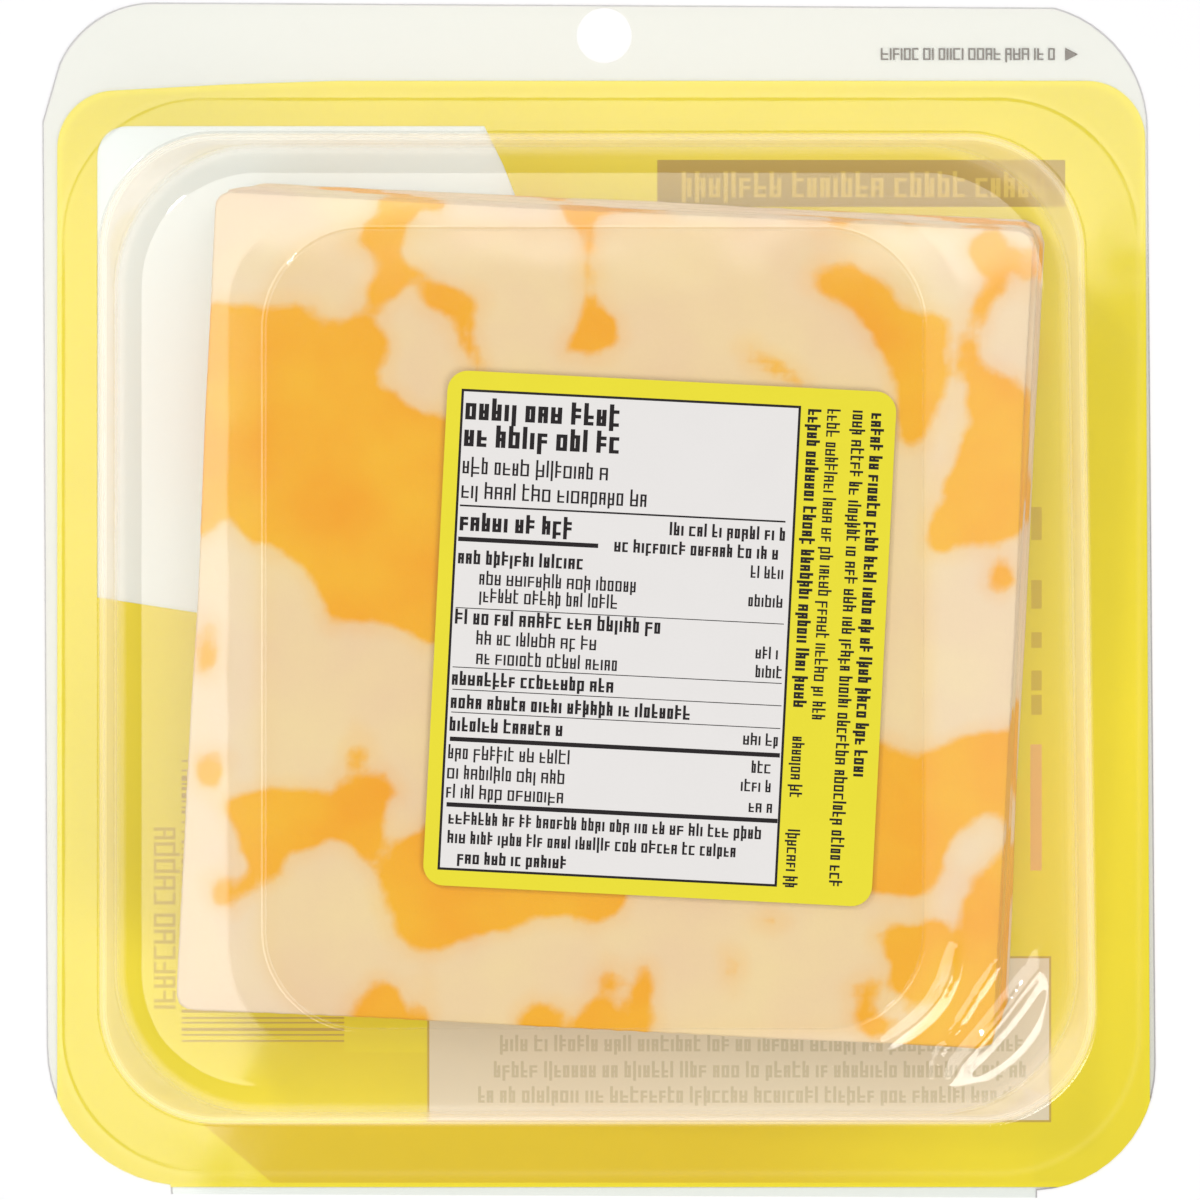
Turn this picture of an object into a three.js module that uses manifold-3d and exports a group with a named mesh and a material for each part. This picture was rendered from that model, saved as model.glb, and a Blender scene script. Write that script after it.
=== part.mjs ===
// A sealed pack of marbled cheese slices. A clear thermoformed tray with a wide flange is welded, mouth down,
// onto a printed film; a paper label sits on the tray's floor and a stack of square slices is shut inside.
// The pack lies on its film, so the tray's floor faces up and the cheese shows through it.
// Millimetres. The origin is the middle of the footprint, +Y runs towards the header with the hang hole.
import * as THREE from 'three';
import { mergeVertices } from 'three/addons/utils/BufferGeometryUtils.js';
import Module from 'manifold-3d';

const wasm = await Module();
wasm.setup();

// The cut edge that film and flange share: four punched corners and the cuts between them, not quite square
const cornerPunches = {
  bottomRight: { x: 49.6, y: -53.5, radius: 14.4, from: -87, to: 0 },
  topRight: { x: 48.7, y: 54.2, radius: 14.4, from: 0, to: 75 },
  topLeft: { x: -51.3, y: 56.9, radius: 11.8, from: 90, to: 156 },
  bottomLeft: { x: -47.6, y: -51.4, radius: 15.9, from: 180, to: 264 },
};
const leftCutTop = new THREE.Vector2(-64.0, 55.0);
const trimStripLeft = new THREE.Vector2(-49.2, -68.3);
const trimStripRight = new THREE.Vector2(50.35, -68.7);
const punchSegments = 10;

// Hang hole through the header
const hangHole = { x: 0.6, y: 64.9, radius: 3.175 };
const hangHoleSegments = 24;

// Heights of the layers, from the underside of the film upwards
const filmThickness = 0.2;
const layerGap = 0.05;
const flangeThickness = 0.4;
const flangeBottom = filmThickness + layerGap;
const flangeTop = flangeBottom + flangeThickness;

// The stack of slices: the top one lies straight under the tray's floor and the others lean up and right
const sliceCount = 12;
const sliceSide = 92.0;
const sliceThickness = 2.04;
const sliceGap = 0.08;
const sliceCornerRadius = 1.5;
const sliceEdgeRound = 0.25;
const sliceEdgeWander = 0.22;
const sliceEdgeWaves = 5;
const topSlice = { x: 0.7, y: -2.25, turn: -2.8 };
const stackLean = { x: 2.3, y: 2.0 };
const sliceJitter = 0.35;
const sliceTurnJitter = 0.4;
const sliceSideSteps = 4;
const underStackGap = 0.1;
const overStackGap = 0.2;
const stackBottom = filmThickness + underStackGap;
const stackTop = stackBottom + sliceCount * sliceThickness + (sliceCount - 1) * sliceGap;

// The tray: centre of its mouth, wall thickness, and the raised panel on its floor
const trayCentre = { x: -0.5, y: -3.3 };
const trayWall = 0.35;
const floorLevel = stackTop + overStackGap + trayWall;
const panelHeight = 0.3;
const panel = { halfX: 37.0, halfY: 44.9, radius: 11.2 };
const panelSlope = 0.4;
const shoulderLine = { halfX: 41.2, halfY: 47.6, radius: 12.2 };
const shoulder = { halfX: 50.0, halfY: 50.6, radius: 12.4 };
const shoulderDrop = 0.1;
const shoulderRound = 4.0;
const shoulderSteps = 4;
const wallDraft = 6;

// The foot of the wall steps out over a narrow ledge and turns into the flange
const rim = { halfX: 57.3, halfY: 57.3, radius: 13.9 };
const ledgeTop = { inset: 1.2, z: 2.4 };
const ledgeEdge = { inset: 0.75, z: 2.15 };
const ledgeFoot = { inset: 0.5, z: 1.1 };
const footInnerInset = 0.8;
const mouthInset = 0.4;
const rightWallSplay = 0.015;

// The weld presses a low bead into the flange
const sealBead = { x: 0.1, y: -4.0, halfX: 62.0, halfY: 61.9, radius: 16.4 };
const beadWidth = 0.8;
const beadHeight = 0.12;
const beadRoot = 0.1;

// Label on the tray's floor
const label = { x: 6.8, y: -4.3, width: 50.3, length: 57.7, radius: 2.3, turn: -2.9 };
const labelThickness = 0.12;

const cornerSteps = 7;
const degrees = Math.PI / 180;

const filmMaterial = new THREE.MeshStandardMaterial({ color: 0xebd738, roughness: 0.3, metalness: 0 });
const trayMaterial = new THREE.MeshStandardMaterial({
  color: 0xf4f2ea,
  roughness: 0.1,
  metalness: 0,
  transparent: true,
  opacity: 0.35,
});
const labelMaterial = new THREE.MeshStandardMaterial({ color: 0xe9e233, roughness: 0.6, metalness: 0 });

// Repeatable numbers between -1 and 1, from the minimal standard generator
const spreadSeed = 4711;
const spreadMultiplier = 16807;
const spreadModulus = 2 ** 31 - 1;

function seededSpread() {
  let state = spreadSeed;
  return () => {
    state = (state * spreadMultiplier) % spreadModulus;
    return (2 * state) / spreadModulus - 1;
  };
}

// Points of a rounded rectangle about the origin, anticlockwise, with extra points along the sides if asked
function roundedRectangle({ halfX, halfY, radius }, sideSteps = 1) {
  const corners = [
    [1, 1],
    [-1, 1],
    [-1, -1],
    [1, -1],
  ].map(([signX, signY], corner) =>
    Array.from({ length: cornerSteps + 1 }, (_, step) => {
      const angle = 90 * degrees * (corner + step / cornerSteps);
      return new THREE.Vector2(
        signX * (halfX - radius) + radius * Math.cos(angle),
        signY * (halfY - radius) + radius * Math.sin(angle),
      );
    }),
  );
  return corners.flatMap((arc, corner) => {
    const start = arc[cornerSteps];
    const end = corners[(corner + 1) % corners.length][0];
    const side = Array.from({ length: sideSteps - 1 }, (_, step) =>
      start.clone().lerp(end, (step + 1) / sideSteps),
    );
    return [...arc, ...side];
  });
}

// Skin over a run of rings with equal point counts. It closes on itself, or each end gets a flat cap.
function loft(rings, endsJoin) {
  const count = rings[0].length;
  const vertices = rings.flat();
  const index = [];
  const runs = endsJoin ? rings.length : rings.length - 1;
  for (let ring = 0; ring < runs; ring++) {
    const here = ring * count;
    const there = ((ring + 1) % rings.length) * count;
    for (let point = 0; point < count; point++) {
      const next = (point + 1) % count;
      index.push(here + point, there + point, there + next);
      index.push(here + point, there + next, here + next);
    }
  }
  if (!endsJoin) {
    for (const [ring, flip] of [
      [0, false],
      [rings.length - 1, true],
    ]) {
      const centre = vertices.length;
      const sum = rings[ring].reduce((total, point) => total.add(point), new THREE.Vector3());
      vertices.push(sum.divideScalar(count));
      for (let point = 0; point < count; point++) {
        const here = ring * count + point;
        const next = ring * count + ((point + 1) % count);
        index.push(...(flip ? [centre, next, here] : [centre, here, next]));
      }
    }
  }
  const geometry = new THREE.BufferGeometry().setFromPoints(vertices);
  geometry.setIndex(index);
  return geometry;
}

function toSolid(geometry) {
  const bare = geometry.clone();
  bare.deleteAttribute('normal');
  bare.deleteAttribute('uv');
  const merged = mergeVertices(bare);
  return new wasm.Manifold(
    new wasm.Mesh({
      numProp: 3,
      vertProperties: new Float32Array(merged.attributes.position.array),
      triVerts: new Uint32Array(merged.index.array),
    }),
  );
}

function toGeometry(solid) {
  const { vertProperties, triVerts } = solid.getMesh();
  const geometry = new THREE.BufferGeometry();
  geometry.setAttribute('position', new THREE.BufferAttribute(vertProperties, 3));
  geometry.setIndex(new THREE.BufferAttribute(triVerts, 1));
  return geometry;
}

function named(name, geometry, material) {
  const mesh = new THREE.Mesh(geometry, material);
  mesh.name = name;
  return mesh;
}

// The outline that both layers are cut to, with the hang hole
function cutOutline() {
  const { bottomRight, topRight, topLeft, bottomLeft } = cornerPunches;
  const outline = new THREE.Shape();
  const punch = ({ x, y, radius, from, to }) => outline.absarc(x, y, radius, from * degrees, to * degrees);
  outline.moveTo(trimStripLeft.x, trimStripLeft.y);
  outline.lineTo(trimStripRight.x, trimStripRight.y);
  punch(bottomRight);
  punch(topRight);
  punch(topLeft);
  outline.lineTo(leftCutTop.x, leftCutTop.y);
  punch(bottomLeft);
  const hole = Array.from({ length: hangHoleSegments }, (_, step) => {
    const angle = (2 * Math.PI * step) / hangHoleSegments;
    return new THREE.Vector2(
      hangHole.x + hangHole.radius * Math.cos(angle),
      hangHole.y + hangHole.radius * Math.sin(angle),
    );
  });
  outline.holes.push(new THREE.Path(hole));
  return outline;
}

function plate(shape, bottom, thickness) {
  const geometry = new THREE.ExtrudeGeometry(shape, {
    depth: thickness,
    bevelEnabled: false,
    curveSegments: punchSegments,
  });
  return geometry.translate(0, 0, bottom);
}

// One ring of the tray at a station of its profile. The right wall splays out towards the bottom edge.
function trayRing(station) {
  const splay = (rightWallSplay * (station.halfX - panel.halfX)) / (rim.halfX - panel.halfX);
  return roundedRectangle(station).map(({ x, y }) => {
    const rightness = 0.5 + x / (2 * station.halfX);
    return new THREE.Vector3(trayCentre.x + x - splay * rightness * y, trayCentre.y + y, station.z);
  });
}

function inset({ halfX, halfY, radius }, amount, z) {
  return { halfX: halfX - amount, halfY: halfY - amount, radius: radius - amount, z };
}

// Stations down the outside of the tray, from the edge of the floor panel to the flange
function outsideStations() {
  const shoulderTop = floorLevel - shoulderDrop;
  const bend = Array.from({ length: shoulderSteps }, (_, step) => {
    const angle = (90 - wallDraft) * degrees * ((step + 1) / shoulderSteps);
    const reach = shoulderRound * Math.sin(angle);
    return inset(shoulder, -reach, shoulderTop - shoulderRound * (1 - Math.cos(angle)));
  });
  return [
    { ...panel, z: floorLevel + panelHeight },
    inset(panel, -panelSlope, floorLevel),
    { ...shoulderLine, z: floorLevel },
    { ...shoulder, z: shoulderTop },
    ...bend,
    inset(rim, ledgeTop.inset, ledgeTop.z),
    inset(rim, ledgeEdge.inset, ledgeEdge.z),
    inset(rim, ledgeFoot.inset, ledgeFoot.z),
  ];
}

// The same stations one wall thickness further in
function insideStations(outside) {
  return outside.map((station, index) => {
    const before = outside[index - 1] ?? { halfX: 0, z: station.z };
    const after = outside[index + 1] ?? station;
    const along = new THREE.Vector2(after.halfX - before.halfX, after.z - before.z).normalize();
    return inset(station, -along.y * trayWall, station.z - along.x * trayWall);
  });
}

function trayShell() {
  const outside = outsideStations();
  const foot = [
    inset(rim, 0, flangeTop),
    inset(rim, 0, flangeBottom),
    inset(rim, footInnerInset, flangeBottom),
  ];
  const stations = [...outside, ...foot, ...insideStations(outside).reverse()];
  return loft(stations.map(trayRing), false);
}

function flange() {
  const outline = cutOutline();
  const mouth = trayRing(inset(rim, mouthInset, flangeBottom));
  outline.holes.push(new THREE.Path(mouth.map(({ x, y }) => new THREE.Vector2(x, y))));
  return plate(outline, flangeBottom, flangeThickness);
}

function weldBead() {
  const section = [
    inset(sealBead, beadWidth / 2, flangeTop - beadRoot),
    inset(sealBead, beadWidth / 4, flangeTop + beadHeight),
    inset(sealBead, -beadWidth / 4, flangeTop + beadHeight),
    inset(sealBead, -beadWidth / 2, flangeTop - beadRoot),
  ];
  const rings = section.map((station) =>
    roundedRectangle(station).map(({ x, y }) => new THREE.Vector3(sealBead.x + x, sealBead.y + y, station.z)),
  );
  return loft(rings, true);
}

function tray() {
  const solid = toSolid(flange()).add(toSolid(trayShell())).add(toSolid(weldBead()));
  return named('tray', toGeometry(solid), trayMaterial);
}

function lidFilm() {
  return named('lid_film', plate(cutOutline(), 0, filmThickness), filmMaterial);
}

function paperLabel() {
  const outline = roundedRectangle({
    halfX: label.width / 2,
    halfY: label.length / 2,
    radius: label.radius,
  });
  const mesh = named('label', plate(new THREE.Shape(outline), 0, labelThickness), labelMaterial);
  mesh.position.set(label.x, label.y, floorLevel + panelHeight + layerGap);
  mesh.rotation.z = label.turn * degrees;
  return mesh;
}

// One slice: a square with soft corners, a softened cut edge and sides that wander a little
function slice(number, spread) {
  const half = sliceSide / 2 - sliceEdgeRound;
  const phase = Math.PI * spread();
  const square = roundedRectangle({ halfX: half, halfY: half, radius: sliceCornerRadius }, sliceSideSteps);
  const outline = square.map((point) => {
    const wave = Math.sin(sliceEdgeWaves * point.angle() + phase);
    return point.clone().setLength(point.length() - sliceEdgeWander * (1 + wave) * 0.5);
  });
  const geometry = new THREE.ExtrudeGeometry(new THREE.Shape(outline), {
    depth: sliceThickness - 2 * sliceEdgeRound,
    bevelThickness: sliceEdgeRound,
    bevelSize: sliceEdgeRound,
    bevelSegments: 1,
  });
  geometry.translate(0, 0, sliceEdgeRound);
  const material = new THREE.MeshStandardMaterial({ color: 0xf6cf90, roughness: 0.5, metalness: 0 });
  const mesh = named(`slice_${String(number).padStart(2, '0')}`, geometry, material);
  const depth = (sliceCount - number) / (sliceCount - 1);
  const loose = number === sliceCount ? 0 : 1;
  mesh.position.set(
    topSlice.x + stackLean.x * depth + loose * sliceJitter * spread(),
    topSlice.y + stackLean.y * depth + loose * sliceJitter * spread(),
    stackBottom + (number - 1) * (sliceThickness + sliceGap),
  );
  mesh.rotation.z = (topSlice.turn + loose * sliceTurnJitter * spread()) * degrees;
  return mesh;
}

const pack = new THREE.Group();
pack.add(lidFilm(), tray(), paperLabel());

const spread = seededSpread();
for (let number = 1; number <= sliceCount; number++) {
  pack.add(slice(number, spread));
}

export default pack;
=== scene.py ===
import math
import random

import bmesh
import bpy
import numpy as np
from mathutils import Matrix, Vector
from mathutils.geometry import delaunay_2d_cdt


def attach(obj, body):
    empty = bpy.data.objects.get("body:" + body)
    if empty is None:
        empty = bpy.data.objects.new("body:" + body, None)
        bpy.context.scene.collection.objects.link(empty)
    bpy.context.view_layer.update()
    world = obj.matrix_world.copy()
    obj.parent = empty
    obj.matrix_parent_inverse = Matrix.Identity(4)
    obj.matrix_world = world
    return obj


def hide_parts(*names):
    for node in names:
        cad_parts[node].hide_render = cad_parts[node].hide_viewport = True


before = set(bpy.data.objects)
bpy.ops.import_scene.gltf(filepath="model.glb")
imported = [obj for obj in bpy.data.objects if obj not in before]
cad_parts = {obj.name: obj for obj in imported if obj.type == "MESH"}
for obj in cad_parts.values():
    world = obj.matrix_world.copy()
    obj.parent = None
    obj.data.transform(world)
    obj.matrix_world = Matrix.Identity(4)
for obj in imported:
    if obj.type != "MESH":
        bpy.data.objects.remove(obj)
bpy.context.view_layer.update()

# Lid film. A flat plastic film, printed with opaque inks, that closes the pack: yellow all over but for a
# clear header with the hang hole, a clear window onto the cheese and a narrow bare strip at the foot. Film
# and tray are cut to the same outline after welding. Sizes are in millimetres, as in the solids.
mm = 0.001


def arc(centre_x, centre_y, radius, start, end, steps=12):
    """Points along an arc; the angles are in degrees."""
    angles = np.radians(np.linspace(start, end, steps + 1))
    return [(centre_x + radius * math.cos(angle), centre_y + radius * math.sin(angle)) for angle in angles]


def box_shape(left, bottom, right, top):
    """The outline of a rectangle."""
    return [(left, bottom), (right, bottom), (right, top), (left, top)]


def inside(points, outline):
    """Which points lie inside a closed outline, by counting the edges to their right."""
    start = np.asarray(outline, float)
    end = np.roll(start, -1, axis=0)
    x, y = points[:, :1], points[:, 1:]
    straddles = (start[:, 1] > y) != (end[:, 1] > y)
    rise = np.where(end[:, 1] == start[:, 1], 1, end[:, 1] - start[:, 1])
    crossing = start[:, 0] + (y - start[:, 1]) / rise * (end[:, 0] - start[:, 0])
    return (straddles & (x < crossing)).sum(axis=1) % 2 == 1


def triangulate(outline, openings, lines, loose=()):
    """Flat triangles inside an outline and outside its openings, with an edge along every given line."""
    points, edges = [], []
    for shape in [outline, *openings, *lines]:
        first = len(points)
        points += [Vector(point) for point in shape]
        edges += [(first + i, first + (i + 1) % len(shape)) for i in range(len(shape))]
    points += [Vector(point) for point in loose]
    closeness = 1e-4
    flat, _, triangles, *_ = delaunay_2d_cdt(points, edges, [], 0, closeness)
    flat, triangles = np.array([tuple(point) for point in flat]), np.array(triangles)
    middles = flat[triangles].mean(axis=1)
    kept = inside(middles, outline)
    for opening in openings:
        kept &= ~inside(middles, opening)
    triangles = triangles[kept]
    used, triangles = np.unique(triangles, return_inverse=True)
    return flat[used], triangles.reshape(-1, 3)


def outer_edges(triangles):
    """The directed edges that only one triangle has."""
    edges = {(a, b) for corners in triangles.tolist() for a, b in zip(corners, corners[1:] + corners[:1])}
    return [(a, b) for a, b in edges if (b, a) not in edges]


def add_mesh(name, vertices, faces, materials):
    """A mesh object from vertices in millimetres."""
    mesh = bpy.data.meshes.new(name)
    mesh.from_pydata((np.asarray(vertices) * mm).tolist(), [], faces)
    for finish in materials:
        mesh.materials.append(finish)
    piece = bpy.data.objects.new(name, mesh)
    bpy.context.scene.collection.objects.link(piece)
    return piece


def printed_sheet(name, outline, openings, prints, bottom, top):
    """A thin flat sheet whose faces take the ink of the last print that covers them, on both sides."""
    flat, triangles = triangulate(outline, openings, [shape for _, shape in prints[1:]])
    middles = flat[triangles].mean(axis=1)
    inks = list(dict.fromkeys(ink for ink, _ in prints))
    ink_of = np.zeros(len(triangles), int)
    for ink, shape in prints:
        low, high = np.min(shape, axis=0), np.max(shape, axis=0)
        near = np.flatnonzero(((middles >= low) & (middles <= high)).all(axis=1))
        ink_of[near[inside(middles[near], shape)]] = inks.index(ink)
    count = len(flat)
    owner = {
        edge: ink
        for corners, ink in zip(triangles.tolist(), ink_of.tolist())
        for edge in zip(corners, corners[1:] + corners[:1])
    }
    rim = outer_edges(triangles)
    vertices = [(x, y, z) for z in (bottom, top) for x, y in flat]
    faces = [(a, c, b) for a, b, c in triangles.tolist()]
    faces += [(a + count, b + count, c + count) for a, b, c in triangles.tolist()]
    faces += [(a, b, b + count, a + count) for a, b in rim]
    piece = add_mesh(name, vertices, faces, inks)
    indices = [*ink_of, *ink_of, *(owner[edge] for edge in rim)]
    piece.data.polygons.foreach_set("material_index", np.array(indices, np.int32))
    return piece


def colour(red, green, blue):
    """A screen colour of 0 to 255 as the linear colour that shaders use."""
    channels = np.array([red, green, blue]) / 255
    linear = np.where(channels > 0.04045, ((channels + 0.055) / 1.055) ** 2.4, channels / 12.92)
    return (*linear.tolist(), 1.0)


def new_material(name):
    """An empty material and its node tree."""
    finish = bpy.data.materials.new(name)
    finish.use_nodes = True
    finish.node_tree.nodes.clear()
    return finish, finish.node_tree


def add_node(tree, kind, inputs=None, **settings):
    """A node with its settings, and its inputs set to values or linked to other nodes' sockets."""
    node = tree.nodes.new(kind)
    for key, value in settings.items():
        setattr(node, key, value)
    for key, value in (inputs or {}).items():
        if isinstance(value, bpy.types.NodeSocket):
            tree.links.new(value, node.inputs[key])
        else:
            node.inputs[key].default_value = value
    return node


def noise(tree, place, scale, detail):
    """The value of a soft noise, about one half on average."""
    inputs = {"Vector": place, "Scale": scale, "Detail": detail}
    return add_node(tree, "ShaderNodeTexNoise", inputs).outputs[0]


def calculate(tree, operation, *values):
    """The result of a maths node."""
    return add_node(tree, "ShaderNodeMath", dict(enumerate(values)), operation=operation).outputs[0]


def blend(tree, share, first, second, way="MIX"):
    """A colour between two colours."""
    inputs = {0: share, 6: first, 7: second}
    return add_node(tree, "ShaderNodeMix", inputs, data_type="RGBA", blend_type=way).outputs[2]


def mix_shaders(tree, share, first, second):
    """A shader between two shaders."""
    return add_node(tree, "ShaderNodeMixShader", {0: share, 1: first, 2: second}).outputs[0]


grain_scale = 2200.0


def make_mottle():
    """Node group: the slight unevenness of printed ink, as a colour and a surface height; a large amount also
    paints the uneven sheen of a wavy film.
    """
    group = bpy.data.node_groups.new("print_mottle", "ShaderNodeTree")
    sockets = [("Colour", "NodeSocketColor"), ("Amount", "NodeSocketFloat"), ("Patches", "NodeSocketFloat")]
    for name, kind in sockets:
        group.interface.new_socket(name, in_out="INPUT", socket_type=kind)
    group.interface.new_socket("Colour", in_out="OUTPUT", socket_type="NodeSocketColor")
    group.interface.new_socket("Height", in_out="OUTPUT", socket_type="NodeSocketFloat")
    given = add_node(group, "NodeGroupInput").outputs
    place = add_node(group, "ShaderNodeTexCoord").outputs["Object"]
    patches = noise(group, place, given["Patches"], 3.0)
    centred = calculate(group, "SUBTRACT", patches, 0.5)
    spread = calculate(group, "MULTIPLY_ADD", centred, given["Amount"], 1.0)
    shaded = add_node(group, "ShaderNodeHueSaturation", {"Color": given["Colour"], "Value": spread})
    fine = noise(group, place, grain_scale, 2.0)
    add_node(group, "NodeGroupOutput", {"Colour": shaded.outputs["Color"], "Height": fine})
    return group


print_mottle = make_mottle()
ink_depth, ink_shine = 0.0002, 0.2


def printed(name, tone, roughness, amount=0.06, patches=180.0, relief=0.02, far_tone=None, change=(0.0, 0.0)):
    """An ink on a sheet. It may change to another tone between two places along X."""
    finish, tree = new_material(name)
    inputs = {"Colour": tone, "Amount": amount, "Patches": patches}
    mottle = add_node(tree, "ShaderNodeGroup", inputs, node_tree=print_mottle)
    if far_tone:
        place = add_node(tree, "ShaderNodeTexCoord").outputs["Object"]
        across = add_node(tree, "ShaderNodeSeparateXYZ", {0: place}).outputs["X"]
        limits = {"Value": across, "From Min": change[0] * mm, "From Max": change[1] * mm}
        share = add_node(tree, "ShaderNodeMapRange", limits, interpolation_type="SMOOTHSTEP").outputs[0]
        tree.links.new(blend(tree, share, tone, far_tone), mottle.inputs["Colour"])
    grain = {"Height": mottle.outputs["Height"], "Strength": relief, "Distance": ink_depth}
    bump = add_node(tree, "ShaderNodeBump", grain)
    surface = add_node(
        tree,
        "ShaderNodeBsdfPrincipled",
        {
            "Base Color": mottle.outputs["Colour"],
            "Roughness": roughness,
            "Specular IOR Level": ink_shine,
            "Normal": bump.outputs[0],
        },
    )
    add_node(tree, "ShaderNodeOutputMaterial", {"Surface": surface.outputs[0]})
    return finish


ripple_scale, ripple_depth = 90.0, 0.0004
milk_lean = 2.0


def make_sheet_surface():
    """Node group: how thin plastic ripples, how milky it is with haze and painted sheen, and the normals of
    its milk towards light on the near and on the far side of the sheet."""
    group = bpy.data.node_groups.new("sheet_surface", "ShaderNodeTree")
    group.interface.new_socket("Relief", in_out="INPUT", socket_type="NodeSocketFloat")
    for name in ("Ripple", "Near side", "Far side"):
        group.interface.new_socket(name, in_out="OUTPUT", socket_type="NodeSocketVector")
    group.interface.new_socket("Haze and sheen", in_out="OUTPUT", socket_type="NodeSocketFloat")
    given = add_node(group, "NodeGroupInput").outputs
    place = add_node(group, "ShaderNodeTexCoord").outputs["Object"]
    waves = noise(group, place, ripple_scale, 1.0)
    bump = add_node(
        group, "ShaderNodeBump", {"Height": waves, "Strength": given["Relief"], "Distance": ripple_depth}
    )
    results = {"Ripple": bump.outputs[0]}
    own_normal = add_node(group, "ShaderNodeNewGeometry").outputs["Normal"]
    for side, lean in [("Near side", milk_lean), ("Far side", -milk_lean)]:
        leaning = add_node(group, "ShaderNodeVectorMath", {0: own_normal, 1: (0, 0, lean)}, operation="ADD")
        unit = add_node(group, "ShaderNodeVectorMath", {0: leaning.outputs[0]}, operation="NORMALIZE")
        results[side] = unit.outputs[0]
    results["Haze and sheen"] = add_node(group, "ShaderNodeAttribute", attribute_name="haze_and_sheen").outputs["Fac"]
    add_node(group, "NodeGroupOutput", results)
    return group


sheet_surface = make_sheet_surface()
# The tone of the haze and of the painted sheen on the tray
haze_and_sheen_tone = colour(231, 225, 214)
edge_mirror, edge_falloff = 0.12, 5.0


def clear_plastic(name, tint, glint, gloss, relief):
    """Thin clear sheet: see-through face on, mirror-like edge on, and milky as far as its haze and painted
    sheen say. The milk takes up light from above on both sides of the sheet, so that a steep wall looks as
    pale as a flat one."""
    finish, tree = new_material(name)
    sheet_face = add_node(tree, "ShaderNodeGroup", {"Relief": relief}, node_tree=sheet_surface).outputs
    facing = add_node(tree, "ShaderNodeLayerWeight", {"Blend": 0.5}).outputs["Facing"]
    steep = calculate(tree, "POWER", facing, edge_falloff)
    mirror = calculate(tree, "MULTIPLY_ADD", steep, edge_mirror, glint)
    through = add_node(tree, "ShaderNodeBsdfTransparent", {"Color": tint}).outputs[0]
    glaze = {"Color": (1, 1, 1, 1), "Roughness": gloss, "Normal": sheet_face["Ripple"]}
    shine = add_node(tree, "ShaderNodeBsdfAnisotropic", glaze).outputs[0]
    # Painted sheen: the milk stands in for reflections on the walls and ledge, besides real haze
    near = add_node(tree, "ShaderNodeBsdfDiffuse", {"Color": haze_and_sheen_tone, "Normal": sheet_face["Near side"]})
    far = add_node(tree, "ShaderNodeBsdfTranslucent", {"Color": haze_and_sheen_tone, "Normal": sheet_face["Far side"]})
    milk_and_sheen = add_node(tree, "ShaderNodeAddShader", {0: near.outputs[0], 1: far.outputs[0]}).outputs[0]
    body = mix_shaders(tree, sheet_face["Haze and sheen"], through, milk_and_sheen)
    sheet = mix_shaders(tree, mirror, body, shine)
    for_shadows = add_node(tree, "ShaderNodeLightPath").outputs["Is Shadow Ray"]
    surface = mix_shaders(tree, for_shadows, sheet, through)
    add_node(tree, "ShaderNodeOutputMaterial", {"Surface": surface})
    return finish


small_height, foot_drop = 0.74, 0.2
stroke_gap, group_gap = 0.13, 0.28
least_width, bar_share = 2.2, 0.8
tall_share, foot_share, lone_share, open_share = 0.4, 0.1, 0.2, 0.25


def mock_type(left, right, base, height, stroke, chance, capitals=False):
    """Plain strokes and bars in short groups, like a printed line seen from afar."""
    shapes = []
    narrow, wide = (0.52, 0.66) if capitals else (0.34, 0.5)
    x = left
    while x < right - height / 2:
        for _ in range(chance.randint(2, 8)):
            width = max(height * chance.uniform(narrow, wide), least_width * stroke)
            if x + width > right:
                break
            tall = chance.random() < (1 if capitals else tall_share)
            rise = height if tall else small_height * height
            foot = base - (foot_drop * height if chance.random() < foot_share else 0)
            shapes.append(box_shape(x, foot, x + stroke, base + rise))
            kind = chance.random()
            if kind < lone_share:
                width = stroke
            else:
                open_right = kind < lone_share + open_share
                bar = bar_share * stroke
                waist = rise if capitals else small_height * height
                for level in chance.sample((0, (waist - bar) / 2, waist - bar), 2):
                    end = x + width - (0 if open_right else stroke)
                    shapes.append(box_shape(x + stroke, base + level, end, base + level + bar))
                if not open_right:
                    shapes.append(box_shape(x + width - stroke, base, x + width, base + waist))
            x += width + stroke_gap * height
        x += group_gap * height
    return shapes


film_bottom, film_top = 0.0, 0.2
cut_outline = [
    (-49.2, -68.3),
    (50.35, -68.7),
    *arc(49.6, -53.5, 14.4, -87, 0),
    *arc(48.7, 54.2, 14.4, 0, 75),
    *arc(-51.3, 56.9, 11.8, 90, 156),
    (-64.0, 55.0),
    *arc(-47.6, -51.4, 15.9, 180, 264),
]
hang_hole = arc(0.6, 64.9, 3.175, 0, 352.5, 47)


def drawn_in(outline, amount):
    """An outline about the origin, with each point moved towards both axes."""
    return [(x - math.copysign(amount, x), y - math.copysign(amount, y)) for x, y in outline]


edge_width, border_width = 0.15, 0.6
within_edge = drawn_in(cut_outline, edge_width)
yellow_field = [
    (-62.3, -67.5),
    (63.4, -67.5),
    *arc(56.1, 53.0, 6.7, 0, 90),
    (-30.0, 59.7),
    (-42.4, 59.3),
    *arc(-55.6, 51.9, 6.7, 90, 180),
]
within_field = drawn_in(yellow_field, border_width)
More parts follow.
